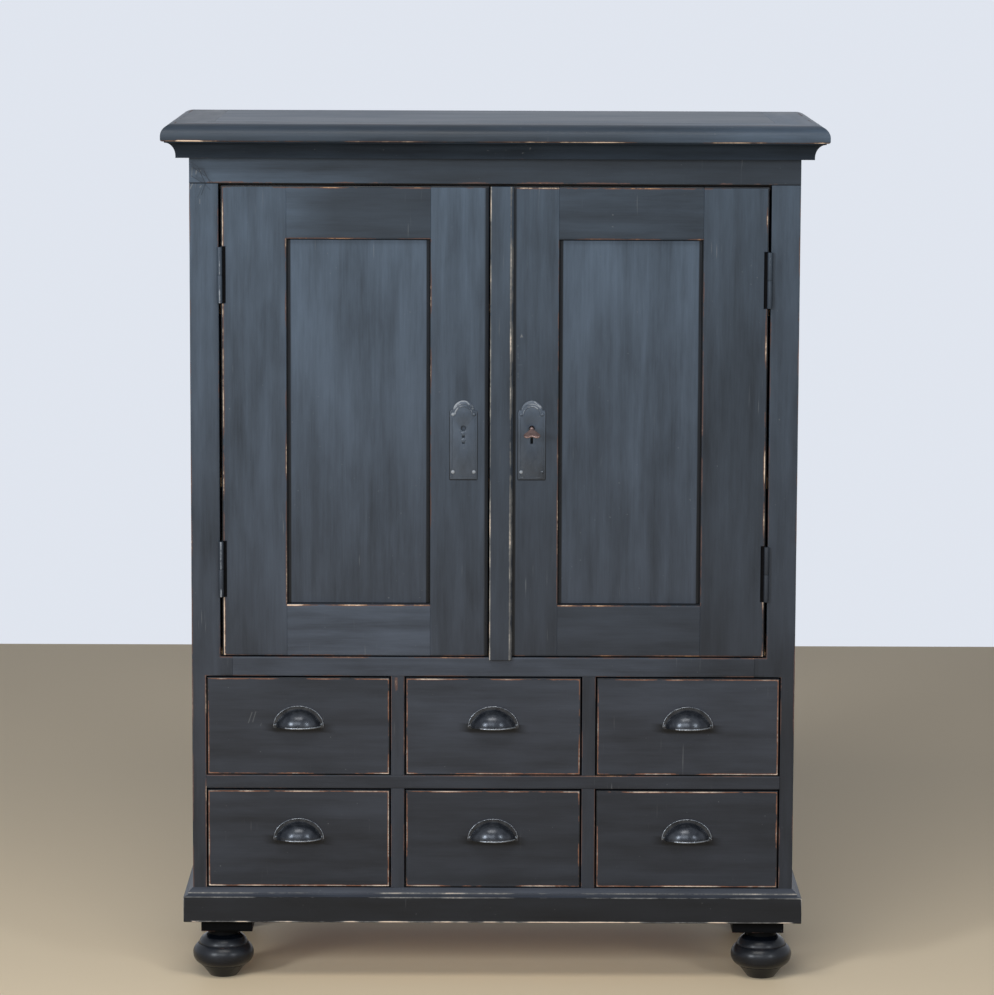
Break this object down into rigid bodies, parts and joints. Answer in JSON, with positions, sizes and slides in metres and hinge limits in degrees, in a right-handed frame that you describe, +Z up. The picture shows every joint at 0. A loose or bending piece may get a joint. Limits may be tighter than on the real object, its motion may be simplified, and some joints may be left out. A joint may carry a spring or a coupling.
{
  "type": "cupboard with drawers",
  "caption": "Floor-standing painted pine cupboard with panelled doors above a bank of small drawers, a moulded top, a plinth and turned bun feet.",
  "frame": {"origin": "centre of the overall footprint, at floor level", "axes": "+Z up, +Y to the back, +X to the viewer's right; the doors and drawers face -Y"},
  "size_m": [1.066, 0.478, 1.405],
  "materials": {
    "painted_pine": "charcoal paint on pine, satin, worn through along the edges",
    "raw_pine": "old unpainted pine, matt",
    "dark_iron": "blackened iron, satin and rubbed",
    "old_steel": "dull steel with a film of rust"
  },
  "bodies": {
    "case": {"side_left": "painted_pine", "side_right": "painted_pine", "back_boards": "raw_pine", "top_board": "painted_pine", "top_moulding": "painted_pine", "cove_moulding": "painted_pine", "plinth_moulding": "painted_pine", "stile_left": "painted_pine", "stile_right": "painted_pine", "frieze_rail": "painted_pine", "middle_rail": "painted_pine", "drawer_rail": "painted_pine", "bottom_rail": "painted_pine", "drawer_dividers": "painted_pine", "drawer_partitions": "raw_pine", "runners_and_stops": "raw_pine", "cupboard_floor": "raw_pine", "cupboard_shelves": "raw_pine", "cupboard_battens": "raw_pine", "bottom_board": "raw_pine", "foot_blocks": "painted_pine", "bun_feet": "painted_pine", "hinge_frame_halves": "dark_iron"},
    "left_door": {"left_hinge_stile": "painted_pine", "left_lock_stile": "painted_pine", "left_door_rails": "painted_pine", "left_panel": "painted_pine", "left_key_plate": "dark_iron", "left_hinge_halves": "dark_iron", "barrel_plates": "dark_iron"},
    "right_door": {"right_hinge_stile": "painted_pine", "right_lock_stile": "painted_pine", "right_door_rails": "painted_pine", "right_panel": "painted_pine", "right_key_plate": "dark_iron", "right_hinge_halves": "dark_iron", "cover_strip": "painted_pine", "lock_case": "dark_iron"},
    "upper_bolt": {"upper_bolt": "old_steel"},
    "lower_bolt": {"lower_bolt": "old_steel"},
    "lock_bolt": {"lock_bolt": "old_steel"},
    "door_key": {"door_key": "old_steel"},
    "lower_left_drawer": {"lower_left_drawer_front": "painted_pine", "lower_left_drawer_box": "raw_pine", "lower_left_pull": "dark_iron"},
    "lower_middle_drawer": {"lower_middle_drawer_front": "painted_pine", "lower_middle_drawer_box": "raw_pine", "lower_middle_pull": "dark_iron"},
    "lower_right_drawer": {"lower_right_drawer_front": "painted_pine", "lower_right_drawer_box": "raw_pine", "lower_right_pull": "dark_iron"},
    "upper_left_drawer": {"upper_left_drawer_front": "painted_pine", "upper_left_drawer_box": "raw_pine", "upper_left_pull": "dark_iron"},
    "upper_middle_drawer": {"upper_middle_drawer_front": "painted_pine", "upper_middle_drawer_box": "raw_pine", "upper_middle_pull": "dark_iron"},
    "upper_right_drawer": {"upper_right_drawer_front": "painted_pine", "upper_right_drawer_box": "raw_pine", "upper_right_pull": "dark_iron"}
  },
  "joints": [
    {"name": "left_door_hinge", "type": "hinge", "parent": "case", "child": "left_door", "pos_m": [-0.4415, -0.2, 0.93], "axis": [0, 0, -1], "range_deg": [0, 175]},
    {"name": "right_door_hinge", "type": "hinge", "parent": "case", "child": "right_door", "pos_m": [0.4415, -0.2, 0.93], "axis": [0, 0, 1], "range_deg": [0, 175]},
    {"name": "upper_bolt_slide", "type": "slide", "parent": "left_door", "child": "upper_bolt", "axis": [0, 0, 1], "range_m": [0, 0.015]},
    {"name": "lower_bolt_slide", "type": "slide", "parent": "left_door", "child": "lower_bolt", "axis": [0, 0, -1], "range_m": [0, 0.015]},
    {"name": "key_turn", "type": "hinge", "parent": "right_door", "child": "door_key", "pos_m": [0.0605, -0.196, 0.915], "axis": [0, -1, 0], "range_deg": [0, 180]},
    {"name": "lock_bolt_slide", "type": "slide", "parent": "right_door", "child": "lock_bolt", "axis": [-1, 0, 0], "range_m": [0, 0.0095]},
    {"name": "lower_left_drawer_slide", "type": "slide", "parent": "case", "child": "lower_left_drawer", "axis": [0, -1, 0], "range_m": [0, 0.28]},
    {"name": "lower_middle_drawer_slide", "type": "slide", "parent": "case", "child": "lower_middle_drawer", "axis": [0, -1, 0], "range_m": [0, 0.28]},
    {"name": "lower_right_drawer_slide", "type": "slide", "parent": "case", "child": "lower_right_drawer", "axis": [0, -1, 0], "range_m": [0, 0.28]},
    {"name": "upper_left_drawer_slide", "type": "slide", "parent": "case", "child": "upper_left_drawer", "axis": [0, -1, 0], "range_m": [0, 0.28]},
    {"name": "upper_middle_drawer_slide", "type": "slide", "parent": "case", "child": "upper_middle_drawer", "axis": [0, -1, 0], "range_m": [0, 0.28]},
    {"name": "upper_right_drawer_slide", "type": "slide", "parent": "case", "child": "upper_right_drawer", "axis": [0, -1, 0], "range_m": [0, 0.28]}
  ],
  "couplings": [
    {"joint": "key_turn", "follows": "lock_bolt_slide", "rad_per_m": 330.69}
  ]
}
